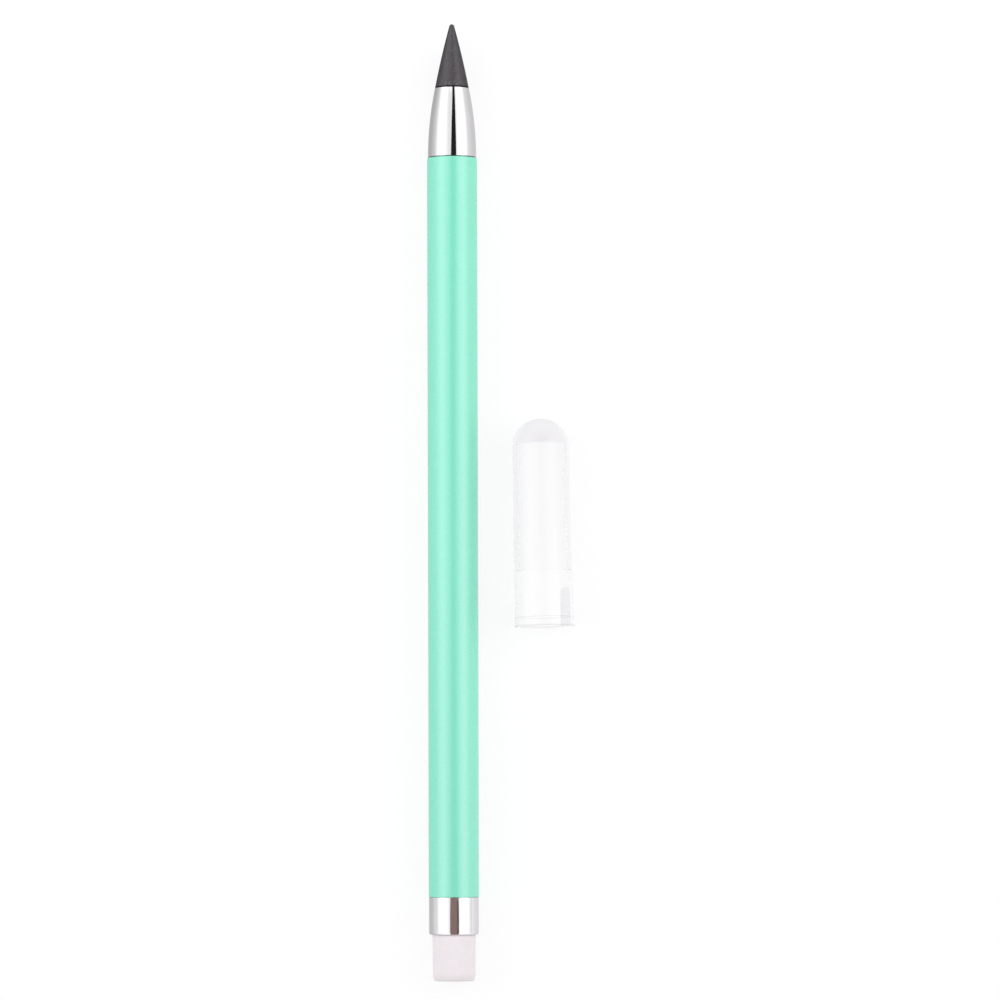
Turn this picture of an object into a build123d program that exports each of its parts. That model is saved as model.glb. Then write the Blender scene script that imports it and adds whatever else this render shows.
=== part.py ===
from build123d import *
import os
from math import asin, atan2, cos, degrees, hypot, sin, sqrt

# An inkless pencil lying on a table, beside the cap that was pulled off it. All sizes are millimetres.
# The pencil's axis is the Y axis, with the nib towards +Y, and +Z is up.
# The origin is on that axis, halfway along the barrel.

# Barrel: a thin lacquered tube
BARREL_DIAMETER = 9.0
BARREL_LENGTH = 132.6
BARREL_WALL = 0.6
BARREL_RIM_RADIUS = 0.2

# Nose cone: it leaves the barrel straight and curves in towards the nib, with a narrow groove at the barrel
NOSE_LENGTH = 12.65
NOSE_FRONT_DIAMETER = 6.14
NOSE_STEP = 0.15
NOSE_GROOVE_LENGTH = 0.15
NOSE_GROOVE_DEPTH = 0.2

# Nib: a slightly bulging cone with a rounded tip
NIB_LENGTH = 11.62
NIB_TIP_RADIUS = 0.46
NIB_BULGE = 0.11
NIB_STEP = 0.03

# Stud: its pin is moulded into the nib, and its thread screws into the front plug
STUD_DIAMETER = 4.0
STUD_LENGTH = 9.0
STUD_COLLAR = 1.2
STUD_PIN_DIAMETER = 2.4
STUD_PIN_LENGTH = 5.0
THREAD_PITCH = 0.7
THREAD_DEPTH = 0.43
THREAD_CREST = 0.12
THREAD_END = 0.5

# Front plug: joins the nose cone to the barrel
FRONT_PLUG_LENGTH = 10.0
NOSE_SPIGOT_LENGTH = 8.0
NOSE_SPIGOT_DIAMETER = 6.0

# Tail plug: joins the ferrule to the barrel, and the eraser sits against it
TAIL_PLUG_LENGTH = 10.0
TAIL_SPIGOT_LENGTH = 2.0
PLUG_WALL = 1.2

# Tail ferrule: a ring with a rounded rear edge
FERRULE_LENGTH = 6.7
FERRULE_WALL = 0.57
FERRULE_STEP = 0.04
FERRULE_RIM_RADIUS = 0.45

# Eraser: a plug with a tapered edge on its free end
ERASER_EXPOSED = 8.18
ERASER_TAPER_LENGTH = 0.95
ERASER_TAPER_DEPTH = 0.3

# Cap: a moulded thimble with a drafted bore and a solid crown, whose rib grips the front of the barrel
CAP_GRIP = 6.7
CAP_SEAT_RUN = 3.4
CAP_NIB_ROOM = 1.98
CAP_CROWN = 4.35
CAP_BORE_DRAFT = 0.4
CAP_MOUTH_WALL = 0.49
CAP_CROWN_WALL = 1.08
CAP_LIP_LENGTH = 1.7
CAP_LIP_HEIGHT = 0.07
CAP_RIB_WIDTH = 2.7
CAP_RIB_HEIGHT = 0.2
CAP_RIB_OVERRUN = 0.2
CAP_RIB_ANGLE = 56.0

# Where the cap lies beside the barrel
CAP_ASIDE_GAP = 6.64
CAP_MOUTH_ALONG = -18.0
CAP_TURN = 1.1

# Clearances, measured on the radius or along the axis
GLUE_GAP = 0.03
SLIDE_GAP = 0.05
STUD_END_GAP = 0.5

# Places along the pencil
BARREL_FRONT = BARREL_LENGTH / 2
BARREL_REAR = -BARREL_LENGTH / 2
NOSE_FRONT = BARREL_FRONT + NOSE_LENGTH
GROOVE_FRONT = BARREL_FRONT + NOSE_GROOVE_LENGTH
SPIGOT_FRONT = BARREL_FRONT + NOSE_SPIGOT_LENGTH
STUD_REAR = NOSE_FRONT - STUD_LENGTH
FERRULE_REAR = BARREL_REAR - FERRULE_LENGTH
ERASER_SEAT = BARREL_REAR - TAIL_SPIGOT_LENGTH
ERASER_END = FERRULE_REAR - ERASER_EXPOSED

# Radii
BARREL_RADIUS = BARREL_DIAMETER / 2
BARREL_BORE = BARREL_RADIUS - BARREL_WALL
PLUG_RADIUS = BARREL_BORE - GLUE_GAP
NOSE_FRONT_RADIUS = NOSE_FRONT_DIAMETER / 2
NOSE_REAR_RADIUS = BARREL_RADIUS - NOSE_STEP
NOSE_DROP = NOSE_REAR_RADIUS - NOSE_FRONT_RADIUS
NOSE_ARC_RADIUS = (NOSE_LENGTH**2 + NOSE_DROP**2) / (2 * NOSE_DROP)
GROOVE_RADIUS = NOSE_REAR_RADIUS - NOSE_GROOVE_DEPTH
SPIGOT_RADIUS = NOSE_SPIGOT_DIAMETER / 2
STUD_RADIUS = STUD_DIAMETER / 2
STUD_HOLE = STUD_RADIUS + SLIDE_GAP
THREAD_ROOT = STUD_RADIUS - THREAD_DEPTH
FERRULE_RADIUS = BARREL_RADIUS - FERRULE_STEP
FERRULE_BORE = FERRULE_RADIUS - FERRULE_WALL
ERASER_RADIUS = FERRULE_BORE - SLIDE_GAP


def turn(outline):
    """Spin half a section, with X as radius and Y along the pencil, about the pencil's axis."""
    return revolve(make_face(outline), Axis.Y)


def tube(outer, inner, rear, front):
    return turn(Polyline((inner, rear), (outer, rear), (outer, front), (inner, front), close=True))


def widest_rims(solid, count):
    return solid.edges().filter_by(GeomType.CIRCLE).sort_by(SortBy.RADIUS)[-count:]


def nose_radius(run):
    """Outside radius of the nose cone at a distance in front of the barrel."""
    return NOSE_REAR_RADIUS - NOSE_ARC_RADIUS + sqrt(NOSE_ARC_RADIUS**2 - run**2)


# Cap sizes that follow from the pencil that it covers
CAP_SOCKET_DEPTH = CAP_GRIP + CAP_SEAT_RUN
CAP_CAVITY_DEPTH = CAP_GRIP + NOSE_LENGTH + NIB_LENGTH + CAP_NIB_ROOM
CAP_LENGTH = CAP_CAVITY_DEPTH + CAP_CROWN
CAP_RIB_LENGTH = CAP_GRIP + CAP_RIB_OVERRUN
CAP_RIB_TIP = BARREL_RADIUS + SLIDE_GAP
CAP_SOCKET = CAP_RIB_TIP + CAP_RIB_HEIGHT
CAP_MOUTH = CAP_SOCKET + CAP_MOUTH_WALL
CAP_LIP = CAP_MOUTH + CAP_LIP_HEIGHT
CAP_BORE = nose_radius(CAP_SEAT_RUN) + SLIDE_GAP
CAP_BORE_END = CAP_BORE - CAP_BORE_DRAFT
CAP_DOME = CAP_BORE_END + CAP_CROWN_WALL
CAP_DOME_START = CAP_LENGTH - CAP_DOME


def barrel():
    shell = tube(BARREL_RADIUS, BARREL_BORE, BARREL_REAR, BARREL_FRONT)
    return fillet(widest_rims(shell, 2), BARREL_RIM_RADIUS)


def nose_cone():
    socket = SPIGOT_RADIUS + GLUE_GAP
    socket_end = SPIGOT_FRONT + GLUE_GAP
    halfway = NOSE_LENGTH / 2
    front = (NOSE_FRONT_RADIUS, NOSE_FRONT)
    rear = (nose_radius(NOSE_GROOVE_LENGTH), GROOVE_FRONT)
    curve = ThreePointArc(front, (nose_radius(halfway), BARREL_FRONT + halfway), rear)
    rest = Polyline(
        rear,
        (GROOVE_RADIUS, GROOVE_FRONT),
        (GROOVE_RADIUS, BARREL_FRONT),
        (socket, BARREL_FRONT),
        (socket, socket_end),
        (STUD_HOLE, socket_end),
        (STUD_HOLE, NOSE_FRONT),
        front,
    )
    return turn(curve + rest)


def nib():
    base = NOSE_FRONT_RADIUS - NIB_STEP
    reach = NIB_LENGTH - NIB_TIP_RADIUS
    lean = atan2(base, reach) - asin(NIB_TIP_RADIUS / hypot(base, reach))
    ball = NOSE_FRONT + reach
    edge = (base, NOSE_FRONT)
    shoulder = (NIB_TIP_RADIUS * cos(lean), ball + NIB_TIP_RADIUS * sin(lean))
    tip = (0, ball + NIB_TIP_RADIUS)
    halfway_radius = (base + shoulder[0]) / 2 + NIB_BULGE * cos(lean)
    halfway_along = (NOSE_FRONT + shoulder[1]) / 2 + NIB_BULGE * sin(lean)
    side = ThreePointArc(edge, (halfway_radius, halfway_along), shoulder)
    rounding = RadiusArc(shoulder, tip, -NIB_TIP_RADIUS)
    pocket = STUD_PIN_DIAMETER / 2 + GLUE_GAP
    pocket_end = NOSE_FRONT + STUD_PIN_LENGTH + GLUE_GAP
    rest = Polyline(tip, (0, pocket_end), (pocket, pocket_end), (pocket, NOSE_FRONT), edge)
    return turn(side + rounding + rest)


def nib_stud():
    pin = STUD_PIN_DIAMETER / 2
    collar_rear = NOSE_FRONT - STUD_COLLAR
    core = turn(
        Polyline(
            (0, STUD_REAR),
            (THREAD_ROOT, STUD_REAR),
            (THREAD_ROOT, collar_rear),
            (STUD_RADIUS, collar_rear),
            (STUD_RADIUS, NOSE_FRONT),
            (pin, NOSE_FRONT),
            (pin, NOSE_FRONT + STUD_PIN_LENGTH),
            (0, NOSE_FRONT + STUD_PIN_LENGTH),
            close=True,
        )
    )
    return core + thread_ridge(STUD_REAR + THREAD_END, collar_rear - THREAD_END)


def thread_ridge(rear, front):
    """The helical ridge of the stud's thread, rooted a little inside its core."""
    path = Helix(THREAD_PITCH, front - rear, THREAD_ROOT, center=(0, rear, 0), direction=(0, 1, 0))
    start = path @ 0
    outward = Vector(start.X, 0, start.Z)
    section = Plane(start, x_dir=outward, z_dir=path % 0)
    root = THREAD_PITCH / 2 - THREAD_CREST / 2
    rooted = -THREAD_DEPTH / 4
    ridge = Polygon(
        (rooted, -root),
        (THREAD_DEPTH, -THREAD_CREST / 2),
        (THREAD_DEPTH, THREAD_CREST / 2),
        (rooted, root),
        align=None,
    )
    return sweep(section * ridge, path=path, is_frenet=True)


def front_plug():
    hole_end = STUD_REAR - STUD_END_GAP
    return turn(
        Polyline(
            (0, BARREL_FRONT - FRONT_PLUG_LENGTH),
            (PLUG_RADIUS, BARREL_FRONT - FRONT_PLUG_LENGTH),
            (PLUG_RADIUS, BARREL_FRONT),
            (SPIGOT_RADIUS, BARREL_FRONT),
            (SPIGOT_RADIUS, SPIGOT_FRONT),
            (STUD_HOLE, SPIGOT_FRONT),
            (STUD_HOLE, hole_end),
            (0, hole_end),
            close=True,
        )
    )


def tail_plug():
    front = BARREL_REAR + TAIL_PLUG_LENGTH
    core = PLUG_RADIUS - PLUG_WALL
    spigot = FERRULE_BORE - GLUE_GAP
    return turn(
        Polyline(
            (0, ERASER_SEAT),
            (spigot, ERASER_SEAT),
            (spigot, BARREL_REAR),
            (PLUG_RADIUS, BARREL_REAR),
            (PLUG_RADIUS, front),
            (core, front),
            (core, BARREL_REAR),
            (0, BARREL_REAR),
            close=True,
        )
    )


def tail_ferrule():
    ring = tube(FERRULE_RADIUS, FERRULE_BORE, FERRULE_REAR, BARREL_REAR)
    return fillet(widest_rims(ring, 2).sort_by(Axis.Y)[0], FERRULE_RIM_RADIUS)


def eraser():
    return turn(
        Polyline(
            (0, ERASER_SEAT),
            (ERASER_RADIUS, ERASER_SEAT),
            (ERASER_RADIUS, ERASER_END + ERASER_TAPER_LENGTH),
            (ERASER_RADIUS - ERASER_TAPER_DEPTH, ERASER_END),
            (0, ERASER_END),
            close=True,
        )
    )


def cap_shell():
    """The cap without its rib, standing on the axis with its mouth at Y = 0."""
    dome_edge = (CAP_DOME, CAP_DOME_START)
    dome_top = (0, CAP_LENGTH)
    dome = RadiusArc(dome_edge, dome_top, -CAP_DOME)
    rest = Polyline(
        dome_top,
        (0, CAP_CAVITY_DEPTH),
        (CAP_BORE_END, CAP_CAVITY_DEPTH),
        (CAP_BORE, CAP_SOCKET_DEPTH),
        (CAP_SOCKET, CAP_SOCKET_DEPTH),
        (CAP_SOCKET, 0),
        (CAP_LIP, 0),
        (CAP_LIP, CAP_LIP_LENGTH),
        (CAP_MOUTH, CAP_LIP_LENGTH),
        dome_edge,
    )
    return turn(dome + rest)


def cap_rib():
    """A round-topped rib on the upper side of the socket, rooted in the wall."""
    arch = CAP_RIB_LENGTH - CAP_RIB_WIDTH / 2
    face = Pos(0, arch / 2) * Rectangle(CAP_RIB_WIDTH, arch) + Pos(0, arch) * Circle(CAP_RIB_WIDTH / 2)
    rooted = CAP_SOCKET + CAP_MOUTH_WALL / 2
    return extrude(face, CAP_MOUTH) & tube(rooted, CAP_RIB_TIP, 0, CAP_RIB_LENGTH)


def cap():
    """The ribbed cap, lying on the table on its lip and its dome."""
    body = cap_shell() + Rot(Y=CAP_RIB_ANGLE) * cap_rib()
    run = CAP_DOME_START - CAP_LIP_LENGTH
    tilt = atan2(CAP_LIP, run) - asin(CAP_DOME / hypot(CAP_LIP, run))
    aside = BARREL_RADIUS + CAP_ASIDE_GAP + CAP_MOUTH
    height = CAP_DOME + CAP_DOME_START * sin(tilt) - BARREL_RADIUS
    return Pos(aside, CAP_MOUTH_ALONG, height) * Rot(Z=CAP_TURN) * Rot(X=-degrees(tilt)) * body


PIECES = [nib, nib_stud, nose_cone, front_plug, barrel, tail_plug, tail_ferrule, eraser, cap]

os.makedirs("parts", exist_ok=True)
for piece in PIECES:
    export_step(piece(), f"parts/{piece.__name__}.step")
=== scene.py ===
from math import asin, atan2, cos, hypot, pi, radians, sin

import bmesh
import bpy
from mathutils import Matrix, Quaternion, Vector


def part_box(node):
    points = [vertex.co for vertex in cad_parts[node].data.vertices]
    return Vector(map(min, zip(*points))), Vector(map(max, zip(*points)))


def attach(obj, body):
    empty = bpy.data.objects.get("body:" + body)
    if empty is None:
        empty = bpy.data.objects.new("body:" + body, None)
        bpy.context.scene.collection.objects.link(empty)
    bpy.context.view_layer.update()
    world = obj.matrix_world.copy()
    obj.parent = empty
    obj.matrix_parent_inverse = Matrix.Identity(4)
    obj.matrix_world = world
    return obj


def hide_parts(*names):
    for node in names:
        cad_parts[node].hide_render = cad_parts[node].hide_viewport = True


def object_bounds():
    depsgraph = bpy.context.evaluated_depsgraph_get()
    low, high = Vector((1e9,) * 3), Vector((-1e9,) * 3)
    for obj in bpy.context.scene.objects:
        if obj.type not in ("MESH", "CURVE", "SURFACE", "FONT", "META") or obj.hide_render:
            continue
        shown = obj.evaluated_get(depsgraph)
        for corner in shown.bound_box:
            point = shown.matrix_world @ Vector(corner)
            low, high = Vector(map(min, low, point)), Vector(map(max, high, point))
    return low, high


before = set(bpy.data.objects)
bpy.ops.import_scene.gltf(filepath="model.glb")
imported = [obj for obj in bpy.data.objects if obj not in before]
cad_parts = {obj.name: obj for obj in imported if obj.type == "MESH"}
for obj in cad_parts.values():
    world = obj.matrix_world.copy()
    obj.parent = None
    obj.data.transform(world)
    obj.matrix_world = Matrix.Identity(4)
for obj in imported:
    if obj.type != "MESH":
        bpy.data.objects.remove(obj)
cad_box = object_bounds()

# An inkless pencil on a white table, beside the clear cap that was pulled off it.
# The pencil's axis is Y, with the nib towards +Y, and +Z is up. Lengths are metres.
MM = 0.001


def reach_along(node):
    """Where a piece of the frame starts and ends along the pencil."""
    low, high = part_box(node)
    return low.y, high.y


def radius_of(node):
    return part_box(node)[1].x


# Places along the pencil
BARREL_REAR, BARREL_FRONT = reach_along("barrel")
NOSE_FRONT = reach_along("nose_cone")[1]
NIB_TIP = reach_along("nib")[1]
FERRULE_REAR = reach_along("tail_ferrule")[0]
ERASER_END, ERASER_SEAT = reach_along("eraser")
TABLE_HEIGHT = cad_box[0].z

# Barrel
BARREL_RADIUS = radius_of("barrel")
BARREL_WALL = 0.6 * MM
BARREL_RIM = 0.2 * MM

# Nose cone
NOSE_REAR_RADIUS = 4.35 * MM
NOSE_FRONT_RADIUS = 3.07 * MM
NOSE_FRONT_RIM = 0.05 * MM
NOSE_GROOVE_LENGTH = 0.15 * MM
NOSE_GROOVE_DEPTH = 0.2 * MM
NOSE_SOCKET_RADIUS = 3.03 * MM
NOSE_SOCKET_DEPTH = 8.03 * MM
STUD_HOLE_RADIUS = 2.05 * MM

# Nib
NIB_BASE_RADIUS = radius_of("nib")
NIB_BASE_RIM = 0.05 * MM
NIB_TIP_RADIUS = 0.46 * MM
NIB_BULGE = 0.11 * MM
NIB_POCKET_RADIUS = 1.23 * MM
NIB_POCKET_DEPTH = 5.03 * MM

# Tail ferrule and eraser
FERRULE_RADIUS = radius_of("tail_ferrule")
FERRULE_WALL = 0.57 * MM
FERRULE_RIM = 0.45 * MM
FERRULE_LIP = 0.1 * MM
ERASER_RADIUS = radius_of("eraser")
ERASER_TAPER_LENGTH = 0.95 * MM
ERASER_TAPER_DEPTH = 0.3 * MM
ERASER_SHOULDER_ROUND = 0.4 * MM
ERASER_EDGE_ROUND = 0.2 * MM

# Cap, measured from its mouth
CAP_LENGTH = 37.3 * MM
CAP_CAVITY_DEPTH = 32.95 * MM
CAP_CAVITY_ROUND = 0.3 * MM
CAP_SOCKET_DEPTH = 10.1 * MM
CAP_STEP_ROUND = 0.06 * MM
CAP_DOME_RADIUS = 4.99 * MM
CAP_BORE_END_RADIUS = 3.91 * MM
CAP_BORE_RADIUS = 4.31 * MM
CAP_SOCKET_RADIUS = 4.75 * MM
CAP_MOUTH_RADIUS = 5.24 * MM
CAP_LIP_RADIUS = 5.31 * MM
CAP_LIP_LENGTH = 1.7 * MM
CAP_RIM_ROUND = 0.18 * MM
CAP_RIB_ANGLE = radians(56)
CAP_RIB_LENGTH = 6.9 * MM
CAP_RIB_WIDTH = 2.7 * MM
CAP_RIB_TOP_ROUND = 0.99 * CAP_RIB_WIDTH / 2
CAP_RIB_TIP_RADIUS = 4.55 * MM
CAP_RIB_ROOT_RADIUS = 4.995 * MM
RIB_BLANK_MIDDLE = 0.6 * CAP_LIP_RADIUS
GRIP_RING_END = 2 * CAP_RIB_LENGTH

# Where the cap's mouth lies on the table, and how far the cap is turned
CAP_ASIDE = 16.38 * MM
CAP_ALONG = -18.0 * MM
CAP_TURN = radians(1.1)

# How finely the turned pieces are made: the cap most of all, because its clear walls show each facet
SPIN_STEPS = 192
CAP_SPIN_STEPS = 384
ROUND_STEPS = 8
TIP_STEPS = 16
SIDE_STEPS = 24
DOME_STEPS = 40
MERGE_DISTANCE = 0.0005 * MM
SHARP_ANGLE = radians(30)
FLAT_FACE_WEIGHT = 100


def plain_object(name, solid):
    """An object made from a bmesh, which is freed."""
    mesh = bpy.data.meshes.new(name)
    solid.to_mesh(mesh)
    solid.free()
    thing = bpy.data.objects.new(name, mesh)
    bpy.context.scene.collection.objects.link(thing)
    return thing


# Turned shapes
def half_section(corners, closed=False):
    """Half a section as a chain of edges, with X as radius and Y along the pencil, and its vertices.

    A corner is (radius, along) or (radius, along, rounding).
    """
    section = bmesh.new()
    chain = [section.verts.new((corner[0], corner[1], 0)) for corner in corners]
    followers = chain[1:] + chain[:1] if closed else chain[1:]
    for start, stop in zip(chain, followers):
        section.edges.new((start, stop))
    for vertex, corner in zip(chain, corners):
        if len(corner) == 3:
            bmesh.ops.bevel(
                section,
                geom=[vertex],
                offset=corner[2],
                offset_type="OFFSET",
                affect="VERTICES",
                segments=ROUND_STEPS,
                profile=0.5,
                material=-1,
            )
    return section, chain


def carry_round(section, vertex, middle, angle, steps):
    """Draw an arc from a vertex about a middle point, and return the vertex at its end."""
    arc = bmesh.ops.spin(
        section, geom=[vertex], cent=(*middle, 0), axis=(0, 0, 1), angle=angle, steps=steps
    )
    return next(part for part in arc["geom_last"] if isinstance(part, bmesh.types.BMVert))


def turned(section, steps=SPIN_STEPS):
    """Spin half a section about the pencil's axis into a closed solid."""
    chain = section.verts[:] + section.edges[:]
    bmesh.ops.spin(
        section, geom=chain, cent=(0, 0, 0), axis=(0, 1, 0), angle=2 * pi, steps=steps, use_merge=True
    )
    bmesh.ops.remove_doubles(section, verts=section.verts[:], dist=MERGE_DISTANCE)
    bmesh.ops.recalc_face_normals(section, faces=section.faces[:])
    return section


def barrel_tube():
    bore = BARREL_RADIUS - BARREL_WALL
    section, _ = half_section(
        [
            (bore, BARREL_REAR),
            (BARREL_RADIUS, BARREL_REAR, BARREL_RIM),
            (BARREL_RADIUS, BARREL_FRONT, BARREL_RIM),
            (bore, BARREL_FRONT),
        ],
        closed=True,
    )
    return turned(section)


def nose_shell():
    """The nose: it leaves the barrel straight and curves in to the nib, in front of a narrow groove."""
    length = NOSE_FRONT - BARREL_FRONT
    drop = NOSE_REAR_RADIUS - NOSE_FRONT_RADIUS
    arc_radius = (length**2 + drop**2) / (2 * drop)
    start = asin(NOSE_GROOVE_LENGTH / arc_radius)
    stop = asin((length - NOSE_FRONT_RIM) / arc_radius)
    middle = (NOSE_REAR_RADIUS - arc_radius, BARREL_FRONT)
    groove = NOSE_REAR_RADIUS - NOSE_GROOVE_DEPTH
    groove_front = BARREL_FRONT + NOSE_GROOVE_LENGTH
    socket_end = BARREL_FRONT + NOSE_SOCKET_DEPTH
    section, chain = half_section(
        [
            (NOSE_FRONT_RADIUS - NOSE_FRONT_RIM, NOSE_FRONT),
            (STUD_HOLE_RADIUS, NOSE_FRONT),
            (STUD_HOLE_RADIUS, socket_end),
            (NOSE_SOCKET_RADIUS, socket_end),
            (NOSE_SOCKET_RADIUS, BARREL_FRONT),
            (groove, BARREL_FRONT),
            (groove, groove_front),
            (middle[0] + arc_radius * cos(start), groove_front),
        ]
    )
    front = carry_round(section, chain[-1], middle, stop - start, SIDE_STEPS)
    section.edges.new((front, chain[0]))
    return turned(section)


def nib_point():
    """The nib: a slightly bulging side, a ball tip, and a pocket for the stud's pin."""
    ball = NIB_TIP - NIB_TIP_RADIUS
    reach = ball - NOSE_FRONT
    lean = atan2(NIB_BASE_RADIUS, reach) - asin(NIB_TIP_RADIUS / hypot(NIB_BASE_RADIUS, reach))
    pocket_end = NOSE_FRONT + NIB_POCKET_DEPTH
    section, chain = half_section(
        [
            (0, pocket_end),
            (NIB_POCKET_RADIUS, pocket_end),
            (NIB_POCKET_RADIUS, NOSE_FRONT),
            (NIB_BASE_RADIUS - NIB_BASE_RIM, NOSE_FRONT),
            (NIB_BASE_RADIUS, NOSE_FRONT + NIB_BASE_RIM),
        ]
    )
    outward = Vector((cos(lean), sin(lean)))
    start = Vector(chain[-1].co[:2])
    stop = Vector((0, ball)) + outward * NIB_TIP_RADIUS
    half_chord = (stop - start).length / 2
    side_radius = (half_chord**2 + NIB_BULGE**2) / (2 * NIB_BULGE)
    across = Vector((stop.y - start.y, start.x - stop.x)).normalized()
    side_middle = (start + stop) / 2 - across * (side_radius - NIB_BULGE)
    shoulder = carry_round(section, chain[-1], side_middle, 2 * asin(half_chord / side_radius), SIDE_STEPS)
    carry_round(section, shoulder, (0, ball), pi / 2 - lean, TIP_STEPS)
    return turned(section)


def ferrule_ring():
    bore = FERRULE_RADIUS - FERRULE_WALL
    section, _ = half_section(
        [
            (bore, FERRULE_REAR, FERRULE_LIP),
            (FERRULE_RADIUS, FERRULE_REAR, FERRULE_RIM),
            (FERRULE_RADIUS, BARREL_REAR),
            (bore, BARREL_REAR),
        ],
        closed=True,
    )
    return turned(section)


def eraser_plug():
    section, _ = half_section(
        [
            (0, ERASER_END),
            (ERASER_RADIUS - ERASER_TAPER_DEPTH, ERASER_END, ERASER_EDGE_ROUND),
            (ERASER_RADIUS, ERASER_END + ERASER_TAPER_LENGTH, ERASER_SHOULDER_ROUND),
            (ERASER_RADIUS, ERASER_SEAT),
            (0, ERASER_SEAT),
        ]
    )
    return turned(section)


def cap_shell():
    """The cap without its rib, on the pencil's axis with its mouth at Y = 0."""
    dome_start = CAP_LENGTH - CAP_DOME_RADIUS
    section, chain = half_section(
        [
            (0, CAP_CAVITY_DEPTH),
            (CAP_BORE_END_RADIUS, CAP_CAVITY_DEPTH, CAP_CAVITY_ROUND),
            (CAP_BORE_RADIUS, CAP_SOCKET_DEPTH, CAP_STEP_ROUND),
            (CAP_SOCKET_RADIUS, CAP_SOCKET_DEPTH, CAP_STEP_ROUND),
            (CAP_SOCKET_RADIUS, 0, CAP_RIM_ROUND),
            (CAP_LIP_RADIUS, 0, CAP_RIM_ROUND),
            (CAP_LIP_RADIUS, CAP_LIP_LENGTH),
            (CAP_MOUTH_RADIUS, CAP_LIP_LENGTH),
            (CAP_DOME_RADIUS, dome_start),
        ]
    )
    carry_round(section, chain[-1], (0, dome_start), pi / 2, DOME_STEPS)
    return turned(section, CAP_SPIN_STEPS)


def rib_blank():
    """A round-topped bar through the cap's mouth, turned to the rib's angle from +Z towards +X."""
    bar = bmesh.new()
    bmesh.ops.create_cube(bar, size=1)
    bmesh.ops.scale(bar, vec=(CAP_RIB_WIDTH, CAP_RIB_LENGTH, CAP_LIP_RADIUS), verts=bar.verts[:])
    bmesh.ops.translate(bar, vec=(0, CAP_RIB_LENGTH / 2, RIB_BLANK_MIDDLE), verts=bar.verts[:])
    corners = [
        edge
        for edge in bar.edges
        if all(vertex.co.y > CAP_RIB_LENGTH / 2 for vertex in edge.verts)
        and abs(edge.verts[0].co.z - edge.verts[1].co.z) > MERGE_DISTANCE
    ]
    bmesh.ops.bevel(
        bar,
        geom=corners,
        offset=CAP_RIB_TOP_ROUND,
        offset_type="OFFSET",
        affect="EDGES",
        segments=ROUND_STEPS,
        profile=0.5,
        material=-1,
    )
    turn = Matrix.Rotation(CAP_RIB_ANGLE, 3, "Y")
    bmesh.ops.rotate(bar, cent=(0, 0, 0), matrix=turn, verts=bar.verts[:])
    return bar


def grip_ring():
    """The ring out of which the rib is cut: from its face to its root in the cap's wall."""
    section, _ = half_section(
        [
            (CAP_RIB_TIP_RADIUS, CAP_RIM_ROUND),
            (CAP_RIB_ROOT_RADIUS, CAP_RIM_ROUND),
            (CAP_RIB_ROOT_RADIUS, GRIP_RING_END),
            (CAP_RIB_TIP_RADIUS, GRIP_RING_END),
        ],
        closed=True,
    )
    return turned(section)


def cap_place():
    """The move that lays the cap on the table, on its lip and its dome, beside the barrel."""
    dome_start = CAP_LENGTH - CAP_DOME_RADIUS
    run = dome_start - CAP_LIP_LENGTH
    tilt = atan2(CAP_LIP_RADIUS, run) - asin(CAP_DOME_RADIUS / hypot(CAP_LIP_RADIUS, run))
    height = TABLE_HEIGHT + CAP_DOME_RADIUS + dome_start * sin(tilt)
    place = Matrix.Translation((CAP_ASIDE, CAP_ALONG, height))
    return place @ Matrix.Rotation(CAP_TURN, 4, "Z") @ Matrix.Rotation(-tilt, 4, "X")


def cap_moulding():
    """The cap and its rib as one skin, so that no wall is left inside the clear plastic."""
    shell = plain_object("cap_shell", cap_shell())
    rib = plain_object("cap_rib", rib_blank())
    ring = plain_object("grip_ring", grip_ring())
    for thing, operation, other in ((rib, "INTERSECT", ring), (shell, "UNION", rib)):
        cut = thing.modifiers.new("join", "BOOLEAN")
        cut.operation = operation
        cut.solver = "EXACT"
        cut.object = other
    whole = bpy.data.meshes.new_from_object(shell.evaluated_get(bpy.context.evaluated_depsgraph_get()))
    for part in (shell, rib, ring):
        bpy.data.objects.remove(part)
    solid = bmesh.new()
    solid.from_mesh(whole)
    bmesh.ops.transform(solid, matrix=cap_place(), verts=solid.verts[:])
    bpy.data.meshes.remove(whole)
    return solid


def dressed_piece(name, solid, material, body, node):
    """A finished piece that stands for a node of the frame and moves with its body."""
    thing = plain_object(name, solid)
    thing.data.shade_smooth()
    thing.data.set_sharp_from_angle(angle=SHARP_ANGLE)
    thing.data.materials.append(material)
    even = thing.modifiers.new("even_walls", "WEIGHTED_NORMAL")
    even.keep_sharp = True
    even.weight = FLAT_FACE_WEIGHT
    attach(thing, body)
    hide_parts(node)


# Finishes: the usual range of a noise, and their colours
NOISE_LOW = 0.3
NOISE_HIGH = 0.7
MINT_DEEP = (0.170, 0.740, 0.525)
MINT_PALE = (0.186, 0.768, 0.550)
MINT_SHEEN = (1.0, 0.74, 0.89, 1)
CHROME_DULL = (0.59, 0.588, 0.595)
CHROME_BRIGHT = (0.615, 0.613, 0.62)
# Painted shade in the nose's groove, tinted green as a painted reflection of the barrel, and how far it
# blends
GROOVE_SHADE_GREEN = (0.06, 0.11, 0.09, 1)
GROOVE_SHADE_BLEND = 0.02 * MM
NIB_DARK = (0.060, 0.056, 0.061)
NIB_GREY = (0.078, 0.072, 0.079)
NIB_PALE = (0.100, 0.094, 0.102)
NIB_SHEEN = (0.35, 0.34, 0.36, 1)
RING_PIT = (0.035, 0.032, 0.035)
RING_RIDGE = (0.120, 0.113, 0.121)
# Painted shade where the nib meets the nose
JOINT_SHADE_BLACK = (0.012, 0.011, 0.012, 1)
ERASER_DULL = (0.805, 0.748, 0.775)
ERASER_PALE = (0.835, 0.778, 0.805)
ERASER_SCATTER = (1.0, 0.8, 0.8)
CAP_HAZY = (0.994, 0.992, 0.994)
CAP_CLEAR = (0.999, 0.998, 0.999)
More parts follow.
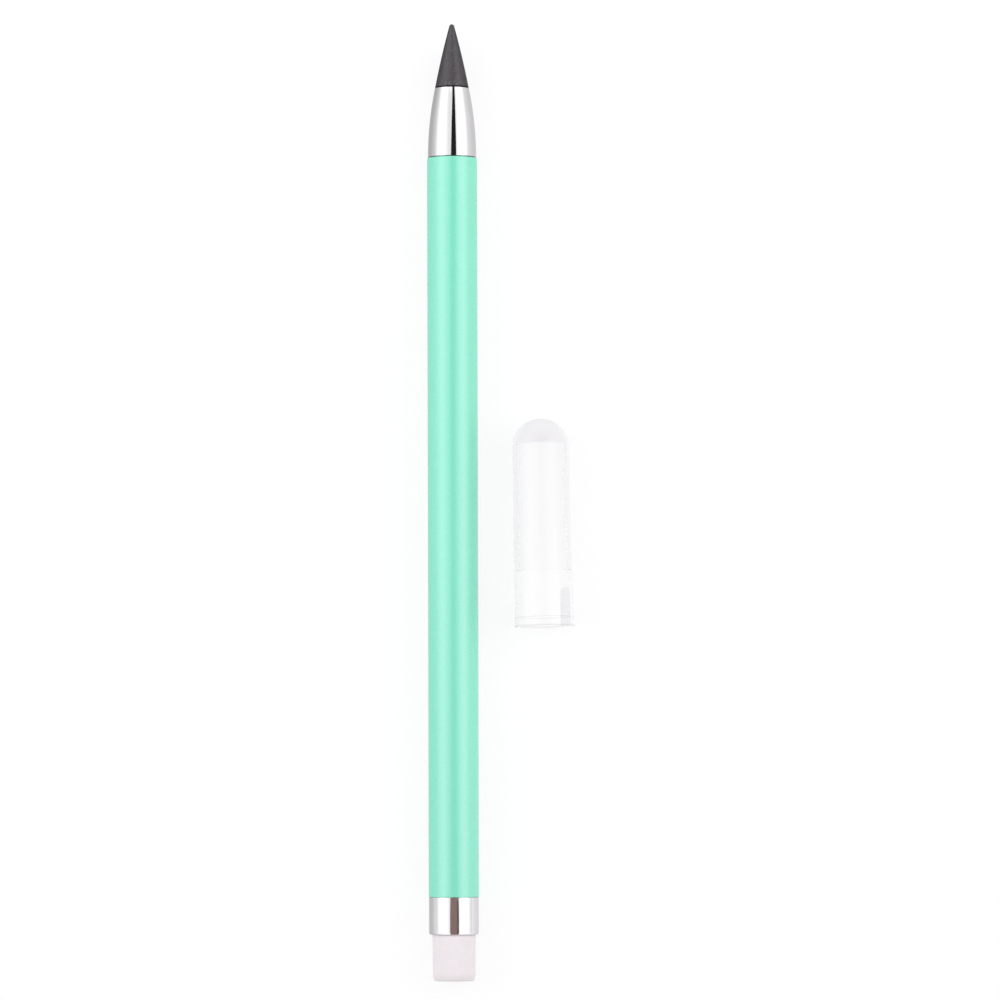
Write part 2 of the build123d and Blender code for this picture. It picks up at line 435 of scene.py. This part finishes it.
# Painted grey shade on the cap's rib
CAP_RIB_SHADE = (0.82, 0.80, 0.82, 1)
CAP_DEPTH_TINT = (0.5, 0.45, 0.55, 1)
CAP_DENSITY = 32.0
BRASS_DEEP = (0.62, 0.42, 0.16)
BRASS_PALE = (0.76, 0.55, 0.25)
PLUG_DULL = (0.62, 0.61, 0.58)
PLUG_PALE = (0.68, 0.67, 0.64)

# How far from the nib's base its rough ring and its painted joint shade start and are full
RING_REACH = (1.3 * MM, 0.9 * MM)
JOINT_SHADE_REACH = (0.3 * MM, 0.18 * MM)

# How far outside the rib's face, and past its end, its painted grey shade is still full and has gone
RIB_FACE_FADE = (0.06 * MM, 0.14 * MM)
RIB_END_FADE = (0.1 * MM, 0.2 * MM)

# Painted shade lines at the rim and the lip of the cap, as stops of (share of the span from the mouth, level)
LIP_SHADE_SPAN = 2 * MM
LIP_SHADE_TONES = [(0.0, 0.88), (0.13, 0.88), (0.17, 1.0), (0.81, 1.0), (0.84, 0.91), (0.89, 0.91), (0.92, 1.0)]


class Finish:
    """A procedural material in the making: its shader, and the nodes that feed it."""

    def __init__(self, name):
        self.material = bpy.data.materials.new(name)
        self.material.use_nodes = True
        self.tree = self.material.node_tree
        self.shader = self.tree.nodes["Principled BSDF"]
        self.place = self.add("ShaderNodeTexCoord").outputs["Object"]

    def add(self, kind, inputs=None, **settings):
        """A new node with these settings, its inputs given a value or linked to another node's output."""
        node = self.tree.nodes.new(kind)
        for name, value in settings.items():
            setattr(node, name, value)
        for name, value in (inputs or {}).items():
            self.feed(node.inputs[name], value)
        return node

    def feed(self, socket, value):
        if isinstance(value, bpy.types.NodeSocket):
            self.tree.links.new(value, socket)
        else:
            socket.default_value = value

    def shade(self, **inputs):
        """Feed the shader's inputs, whose names are written with _ for a space."""
        for name, value in inputs.items():
            self.feed(self.shader.inputs[name.replace("_", " ")], value)

    def grain(self, size, stretch=(1, 1, 1), detail=3.0):
        """Noise around a half, with grains about size long, longer along an axis whose stretch is above 1."""
        squeeze = [1 / amount for amount in stretch]
        mapping = self.add("ShaderNodeMapping", {"Vector": self.place, "Scale": squeeze})
        noise = self.add(
            "ShaderNodeTexNoise", {"Vector": mapping.outputs["Vector"], "Scale": 1 / size, "Detail": detail}
        )
        return noise.outputs["Fac"]

    def along(self):
        """How far along the pencil a point is."""
        return self.add("ShaderNodeSeparateXYZ", {"Vector": self.place}).outputs["Y"]

    def between(self, amount, low, high, start=NOISE_LOW, stop=NOISE_HIGH):
        """A number that runs from low to high as amount runs from start to stop."""
        node = self.add(
            "ShaderNodeMapRange",
            {"Value": amount, "From Min": start, "From Max": stop, "To Min": low, "To Max": high},
        )
        return node.outputs["Result"]

    def colours(self, amount, *stops):
        """A colour from stops of (amount, colour)."""
        node = self.add("ShaderNodeValToRGB", {"Fac": amount})
        ramp = node.color_ramp
        while len(ramp.elements) < len(stops):
            ramp.elements.new(1.0)
        for element, (position, colour) in zip(ramp.elements, stops):
            element.position = position
            element.color = (*colour, 1)
        return node.outputs["Color"]

    def shades(self, noise, deep, pale):
        """A colour that runs from deep to pale over the usual range of a noise."""
        return self.colours(noise, (NOISE_LOW, deep), (NOISE_HIGH, pale))

    def greys(self, amount, tones):
        """A grey from stops of (amount, level)."""
        return self.colours(amount, *[(place, (level, level, level)) for place, level in tones])

    def mix(self, share, colour, other, blend="MIX"):
        """A colour with a share of another one."""
        node = self.add("ShaderNodeMix", data_type="RGBA", blend_type=blend)
        self.feed(node.inputs["Factor"], share)
        self.feed(node.inputs["A"], colour)
        self.feed(node.inputs["B"], other)
        return node.outputs["Result"]

    def tint(self, colour, amount, other, start, stop):
        """A colour that turns to another one as amount runs from start to stop."""
        return self.mix(self.between(amount, 0, 1, start, stop), colour, other)

    def relief(self, height, depth, under=None):
        """A normal with bumps of this depth, on top of another normal."""
        inputs = {"Height": height, "Distance": depth, "Strength": 1.0}
        if under is not None:
            inputs["Normal"] = under
        return self.add("ShaderNodeBump", inputs).outputs["Normal"]

    def glow(self, colour, strength):
        """Light of its own in place of the shader."""
        light = self.add("ShaderNodeEmission", {"Color": colour, "Strength": strength})
        self.surface(light.outputs["Emission"])

    def surface(self, look):
        """Use this look in place of the shader."""
        self.tree.links.new(look, self.tree.nodes["Material Output"].inputs["Surface"])


def mint_lacquer():
    """Satin mint lacquer: a fine pigment grain and orange peel under a pearly sheen."""
    finish = Finish("mint_lacquer")
    pigment = finish.grain(size=0.1 * MM, detail=2)
    peel = finish.grain(size=0.4 * MM)
    finish.shade(
        Base_Color=finish.shades(pigment, MINT_DEEP, MINT_PALE),
        Roughness=finish.between(pigment, low=0.25, high=0.28),
        Normal=finish.relief(peel, depth=0.0003 * MM),
        IOR=2.0,
        Specular_Tint=MINT_SHEEN,
    )
    return finish.material


def chrome_plating(name, groove_front=None):
    """Bright chrome with faint turning lines and a trace of haze; behind the front of a groove it gets
    painted shade, tinted green as a painted reflection of the barrel.
    """
    finish = Finish(name)
    cloud = finish.grain(size=3 * MM)
    colour = finish.shades(cloud, CHROME_DULL, CHROME_BRIGHT)
    # Painted shade in the groove, tinted green as a painted reflection of the barrel
    if groove_front is not None:
        start = groove_front + GROOVE_SHADE_BLEND
        stop = groove_front - GROOVE_SHADE_BLEND
        colour = finish.tint(colour, finish.along(), GROOVE_SHADE_GREEN, start, stop)
    haze = finish.grain(size=1.5 * MM, detail=6)
    turning = finish.grain(size=0.08 * MM, stretch=(80, 1, 80))
    finish.shade(
        Base_Color=colour,
        Metallic=1.0,
        Roughness=finish.between(haze, low=0.05, high=0.085),
        Normal=finish.relief(turning, depth=0.00006 * MM),
    )
    return finish.material


def nib_alloy():
    """Pressed graphite and metal: dark specks, drawn streaks, a rough ring at the base, and painted shade at
    its joint with the nose.
    """
    finish = Finish("nib_alloy")
    specks = finish.grain(size=0.3 * MM, detail=8)
    streaks = finish.grain(size=0.3 * MM, stretch=(1, 12, 1))
    colour = finish.colours(specks, (0.3, NIB_DARK), (0.5, NIB_GREY), (0.72, NIB_PALE))
    colour = finish.tint(colour, streaks, (*NIB_PALE, 1), start=0.45, stop=0.95)
    along = finish.along()
    pits = finish.grain(size=0.24 * MM, detail=4)
    ring = finish.colours(pits, (0.36, RING_PIT), (0.60, RING_RIDGE))
    colour = finish.tint(colour, along, ring, *[NOSE_FRONT + reach for reach in RING_REACH])
    # Painted shade at the nib's joint with the nose
    colour = finish.tint(colour, along, JOINT_SHADE_BLACK, *[NOSE_FRONT + reach for reach in JOINT_SHADE_REACH])
    drawn = finish.relief(streaks, depth=0.003 * MM)
    finish.shade(
        Base_Color=colour,
        Metallic=0.6,
        Roughness=finish.between(specks, low=0.34, high=0.42),
        Normal=finish.relief(specks, depth=0.005 * MM, under=drawn),
        IOR=1.4,
        Specular_IOR_Level=0.3,
        Specular_Tint=NIB_SHEEN,
    )
    return finish.material


def eraser_rubber():
    """Soft off-white rubber with a powdery skin and faint mottling."""
    finish = Finish("eraser_rubber")
    mottle = finish.grain(size=1.6 * MM, detail=5)
    powder = finish.grain(size=0.1 * MM, detail=5)
    dents = finish.relief(finish.grain(size=0.8 * MM), depth=0.02 * MM)
    finish.shade(
        Base_Color=finish.shades(mottle, ERASER_DULL, ERASER_PALE),
        Roughness=finish.between(powder, low=0.78, high=0.92),
        Normal=finish.relief(powder, depth=0.008 * MM, under=dents),
        Subsurface_Weight=0.12,
        Subsurface_Radius=ERASER_SCATTER,
        Subsurface_Scale=0.4 * MM,
        IOR=1.45,
    )
    return finish.material


def cap_plastic():
    """Natural moulded plastic: clear, but greyer in thick places, with painted grey shade on its rib and
    painted shade lines at its rim and lip.
    """
    finish = Finish("cap_plastic")
    lying = cap_place()
    finish.place = finish.add(
        "ShaderNodeMapping",
        {"Vector": finish.place, "Location": lying.to_translation(), "Rotation": lying.to_euler()},
        vector_type="TEXTURE",
    ).outputs["Vector"]
    cloud = finish.grain(size=4 * MM, stretch=(1, 3, 1))
    colour = finish.shades(cloud, CAP_HAZY, CAP_CLEAR)
    along = finish.along()
    sideways = finish.add("ShaderNodeVectorMath", {0: finish.place, 1: (1, 0, 1)}, operation="MULTIPLY")
    distance = finish.add("ShaderNodeVectorMath", {0: sideways.outputs["Vector"]}, operation="LENGTH")
    aside = distance.outputs["Value"]
    # A painted grey shade on the rib
    rib_face = finish.between(aside, 1, 0, *[CAP_RIB_TIP_RADIUS + fade for fade in RIB_FACE_FADE])
    rib_run = finish.between(along, 1, 0, *[CAP_RIB_LENGTH + fade for fade in RIB_END_FADE])
    rib = finish.add("ShaderNodeMath", {0: rib_face, 1: rib_run}, operation="MULTIPLY").outputs["Value"]
    colour = finish.mix(rib, colour, CAP_RIB_SHADE)
    # Painted shade lines at the rim and the lip
    lip_shade = finish.greys(finish.between(along, 0, 1, 0, LIP_SHADE_SPAN), LIP_SHADE_TONES)
    skin = finish.grain(size=2 * MM)
    finish.shade(
        Base_Color=finish.mix(1.0, colour, lip_shade, blend="MULTIPLY"),
        Roughness=finish.between(skin, low=0.08, high=0.11),
        Transmission_Weight=1.0,
        IOR=1.1,
        Coat_Weight=0.5,
        Coat_Roughness=0.12,
        Coat_IOR=1.4,
    )
    depth = finish.add("ShaderNodeVolumeAbsorption", {"Color": CAP_DEPTH_TINT, "Density": CAP_DENSITY})
    finish.tree.links.new(depth.outputs["Volume"], finish.tree.nodes["Material Output"].inputs["Volume"])
    return finish.material


def stud_brass():
    """Machined brass with turning lines."""
    finish = Finish("stud_brass")
    cloud = finish.grain(size=0.8 * MM, detail=5)
    turning = finish.grain(size=0.06 * MM, stretch=(60, 1, 60))
    finish.shade(
        Base_Color=finish.shades(cloud, BRASS_DEEP, BRASS_PALE),
        Metallic=1.0,
        Roughness=finish.between(turning, low=0.22, high=0.34),
        Normal=finish.relief(turning, depth=0.0006 * MM),
    )
    return finish.material


def plug_plastic():
    """Natural moulded plastic with a dull skin."""
    finish = Finish("plug_plastic")
    cloud = finish.grain(size=1.2 * MM, detail=4)
    skin = finish.grain(size=0.15 * MM, detail=4)
    finish.shade(
        Base_Color=finish.shades(cloud, PLUG_DULL, PLUG_PALE),
        Roughness=finish.between(skin, low=0.5, high=0.65),
        Normal=finish.relief(skin, depth=0.004 * MM),
    )
    return finish.material


# Table, with the distances over which its shadow fades
FLOOR_SIDE = 4.0
FLOOR_GLOW = 0.85
FLOOR_WHITE = 0.9
SHADOW_FADE = (0.1, 0.35)

# What mirrors see of the table, a painted reflection that is darkest in a band under the pencil where its
# shadow falls, as stops of (share of the width, level), and how bright it is at the rear
MIRRORED_WIDTH = 0.12
MIRRORED_TONES = [
    (0.0, 1.0),
    (0.29, 0.85),
    (0.42, 0.65),
    (0.5, 0.66),
    (0.58, 0.92),
    (0.71, 1.05),
    (1.0, 1.15),
]
MIRRORED_GREEN = 0.98
MIRRORED_REAR = 1.18

# Light of the room
WHITE_LIGHT = 1.0
FILL_LIGHT = 0.3
MIRROR_LIGHT = 1.6

# Canopy of light, with stops of (share of the way from its crown to a foot, level)
CANOPY_RADIUS = 0.45
CANOPY_REAR = -0.17
CANOPY_FRONT = 0.32
CANOPY_STEPS = 48
CANOPY_RADIANCE = 2.42
CANOPY_TONES = [(0.0, 0.54), (0.18, 0.54), (0.3, 0.65), (0.45, 1.0), (0.64, 1.0), (0.8, 0.69), (1.0, 0.43)]

# Dark card, with edges of (along, height, left, right)
CARD_HEIGHT = 0.3
CARD_EDGES = [
    (-0.350, 0.0, -0.043, 0.058),
    (-0.350, CARD_HEIGHT, -0.094, 0.130),
    (-0.073, CARD_HEIGHT, -0.094, 0.130),
    (-0.064, CARD_HEIGHT, -0.058, 0.080),
    (0.094, CARD_HEIGHT, -0.058, 0.080),
    (0.101, CARD_HEIGHT, -0.025, 0.113),
    (0.177, CARD_HEIGHT, -0.005, 0.104),
    (0.222, CARD_HEIGHT, 0.013, 0.104),
    (0.340, CARD_HEIGHT, 0.037, 0.107),
]
CARD_BROWN = (0.38, 0.245, 0.225)
CARD_DARK = (0.13, 0.105, 0.105)
CARD_BLACK = (0.02, 0.018, 0.018)
CARD_DARK_START = 0.07
CARD_DARK_BLEND = 0.02
CARD_FRONT = 0.101

# Camera
CAMERA_TILT = radians(3.0)
CAMERA_DISTANCE = 1.04
CAMERA_ROLL = radians(-0.17)
VIEW_MIDDLE = Vector((8.44 * MM, 4.76 * MM, 0))
FOCAL_PIXELS = 5800
PICTURE_PIXELS = 1000
SENSOR_WIDTH = 36.0


def white_table():
    """A white table: lit paper for the camera, a painted reflection in mirrors that is darker in a band under
    the pencil and brighter at the rear, and plain white behind the clear cap.
    """
    plane = bmesh.new()
    bmesh.ops.create_grid(plane, x_segments=1, y_segments=1, size=FLOOR_SIDE / 2)
    bmesh.ops.translate(plane, vec=(0, 0, TABLE_HEIGHT), verts=plane.verts[:])
    table = plain_object("white_table", plane)
    finish = Finish("white_paper")
    path = finish.add("ShaderNodeLightPath").outputs
    paper = finish.add("ShaderNodeBsdfDiffuse", {"Color": (FLOOR_WHITE, FLOOR_WHITE, FLOOR_WHITE, 1)})
    away = finish.add("ShaderNodeVectorMath", {0: finish.place}, operation="LENGTH").outputs["Value"]
    shadowed = finish.between(away, 1 - FLOOR_GLOW, 0, *SHADOW_FADE)
    faint = finish.add("ShaderNodeBsdfDiffuse", {"Color": shadowed})
    lit = finish.between(away, FLOOR_GLOW, 1, *SHADOW_FADE)
    glow = finish.add("ShaderNodeEmission", {"Strength": lit})
    seen = finish.add("ShaderNodeAddShader", {0: faint.outputs["BSDF"], 1: glow.outputs["Emission"]})
    split = finish.add("ShaderNodeSeparateXYZ", {"Vector": finish.place}).outputs
    # A painted reflection of the table, darker under the pencil where its shadow falls
    aside = finish.between(split["X"], 0, 1, -MIRRORED_WIDTH / 2, MIRRORED_WIDTH / 2)
    tones = [(place, (level, MIRRORED_GREEN * level, level)) for place, level in MIRRORED_TONES]
    colour = finish.colours(aside, *tones)
    nearness = finish.between(split["Y"], MIRRORED_REAR, 1, BARREL_REAR, BARREL_FRONT)
    mirrored = finish.add("ShaderNodeEmission", {"Color": colour, "Strength": nearness})
    white = finish.add("ShaderNodeEmission", {"Strength": WHITE_LIGHT})
    look = paper.outputs["BSDF"]
    for ray, other in (
        ("Is Camera Ray", seen.outputs["Shader"]),
        ("Is Glossy Ray", mirrored.outputs["Emission"]),
        ("Is Transmission Ray", white.outputs["Emission"]),
    ):
        look = finish.add("ShaderNodeMixShader", {0: path[ray], 1: look, 2: other}).outputs["Shader"]
    finish.surface(look)
    table.data.materials.append(finish.material)


def white_room():
    """White for the camera and behind the clear cap, brighter in mirrors, with a little light all round."""
    world = bpy.data.worlds.new("white_room")
    bpy.context.scene.world = world
    world.use_nodes = True
    tree = world.node_tree
    path = tree.nodes.new("ShaderNodeLightPath").outputs
    strength = FILL_LIGHT
    for ray, light in (
        ("Is Glossy Ray", MIRROR_LIGHT),
        ("Is Transmission Ray", WHITE_LIGHT),
        ("Is Camera Ray", WHITE_LIGHT),
    ):
        choice = tree.nodes.new("ShaderNodeMix")
        tree.links.new(path[ray], choice.inputs["Factor"])
        if isinstance(strength, float):
            choice.inputs["A"].default_value = strength
        else:
            tree.links.new(strength, choice.inputs["A"])
        choice.inputs["B"].default_value = light
        strength = choice.outputs["Result"]
    background = tree.nodes["Background"]
    background.inputs["Color"].default_value = (1, 1, 1, 1)
    tree.links.new(strength, background.inputs["Strength"])


def light_canopy():
    """A glowing half tunnel over the pencil, brightest on its flanks and dimmer at its crown and its feet."""
    sheet = bmesh.new()
    foot = [sheet.verts.new((CANOPY_RADIUS, along, 0)) for along in (CANOPY_REAR, CANOPY_FRONT)]
    edge = sheet.edges.new(foot)
    bmesh.ops.spin(
        sheet,
        geom=[*foot, edge],
        cent=(0, 0, 0),
        axis=(0, 1, 0),
        angle=-pi,
        steps=CANOPY_STEPS,
        use_merge=False,
    )
    canopy = plain_object("light_canopy", sheet)
    finish = Finish("canopy_cloth")
    split = finish.add("ShaderNodeSeparateXYZ", {"Vector": finish.place}).outputs
    aside = finish.add("ShaderNodeMath", {0: split["X"]}, operation="ABSOLUTE").outputs["Value"]
    angle = finish.add("ShaderNodeMath", {0: aside, 1: split["Z"]}, operation="ARCTAN2").outputs["Value"]
    colour = finish.greys(finish.between(angle, 0, 1, 0, pi / 2), CANOPY_TONES)
    finish.glow(colour, CANOPY_RADIANCE)
    canopy.data.materials.append(finish.material)
    canopy.visible_camera = False
    canopy.visible_transmission = False


def overhead_card():
    """A dark card that only mirrors see: wide over the tail, and a narrow strip over the nose."""
    card = bmesh.new()
    left = [card.verts.new((low, along, height)) for along, height, low, high in CARD_EDGES]
    right = [card.verts.new((high, along, height)) for along, height, low, high in CARD_EDGES]
    for index in range(len(CARD_EDGES) - 1):
        card.faces.new((left[index], right[index], right[index + 1], left[index + 1]))
    thing = plain_object("overhead_card", card)
    finish = Finish("dark_card")
    aside = finish.add("ShaderNodeSeparateXYZ", {"Vector": finish.place}).outputs["X"]
    darkness = finish.between(aside, 0, 1, CARD_DARK_START, CARD_DARK_START + CARD_DARK_BLEND)
    colour = finish.colours(darkness, (0, CARD_BROWN), (1, CARD_DARK))
    finish.glow(finish.tint(colour, finish.along(), (*CARD_BLACK, 1), 0, CARD_FRONT), strength=1.0)
    thing.data.materials.append(finish.material)
    thing.visible_camera = False
    thing.visible_diffuse = False
    thing.visible_transmission = False
    thing.visible_shadow = False


def overhead_camera():
    """Almost straight above the table, leaning back towards the eraser."""
    lens = bpy.data.cameras.new("overhead_camera")
    lens.sensor_width = SENSOR_WIDTH
    lens.lens = FOCAL_PIXELS * SENSOR_WIDTH / PICTURE_PIXELS
    eye = bpy.data.objects.new("overhead_camera", lens)
    back = Vector((0, -sin(CAMERA_TILT), cos(CAMERA_TILT)))
    eye.location = VIEW_MIDDLE + back * CAMERA_DISTANCE
    eye.rotation_mode = "QUATERNION"
    eye.rotation_quaternion = (-back).to_track_quat("-Z", "Y") @ Quaternion((0, 0, 1), CAMERA_ROLL)
    bpy.context.scene.collection.objects.link(eye)
    bpy.context.scene.camera = eye


def dress_pencil():
    nose_chrome = chrome_plating("nose_chrome", BARREL_FRONT + NOSE_GROOVE_LENGTH)
    ferrule_chrome = chrome_plating("ferrule_chrome")
    dressed_piece("barrel_tube", barrel_tube(), mint_lacquer(), "pencil", "barrel")
    dressed_piece("nose_shell", nose_shell(), nose_chrome, "pencil", "nose_cone")
    dressed_piece("ferrule_ring", ferrule_ring(), ferrule_chrome, "pencil", "tail_ferrule")
    dressed_piece("nib_point", nib_point(), nib_alloy(), "nib", "nib")
    dressed_piece("eraser_plug", eraser_plug(), eraser_rubber(), "eraser", "eraser")
    dressed_piece("cap_moulding", cap_moulding(), cap_plastic(), "cap", "cap")
    plastic = plug_plastic()
    for node, material in (("nib_stud", stud_brass()), ("front_plug", plastic), ("tail_plug", plastic)):
        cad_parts[node].material_slots[0].material = material


bpy.context.scene.view_settings.view_transform = "Standard"
white_table()
white_room()
light_canopy()
overhead_card()
overhead_camera()
dress_pencil()
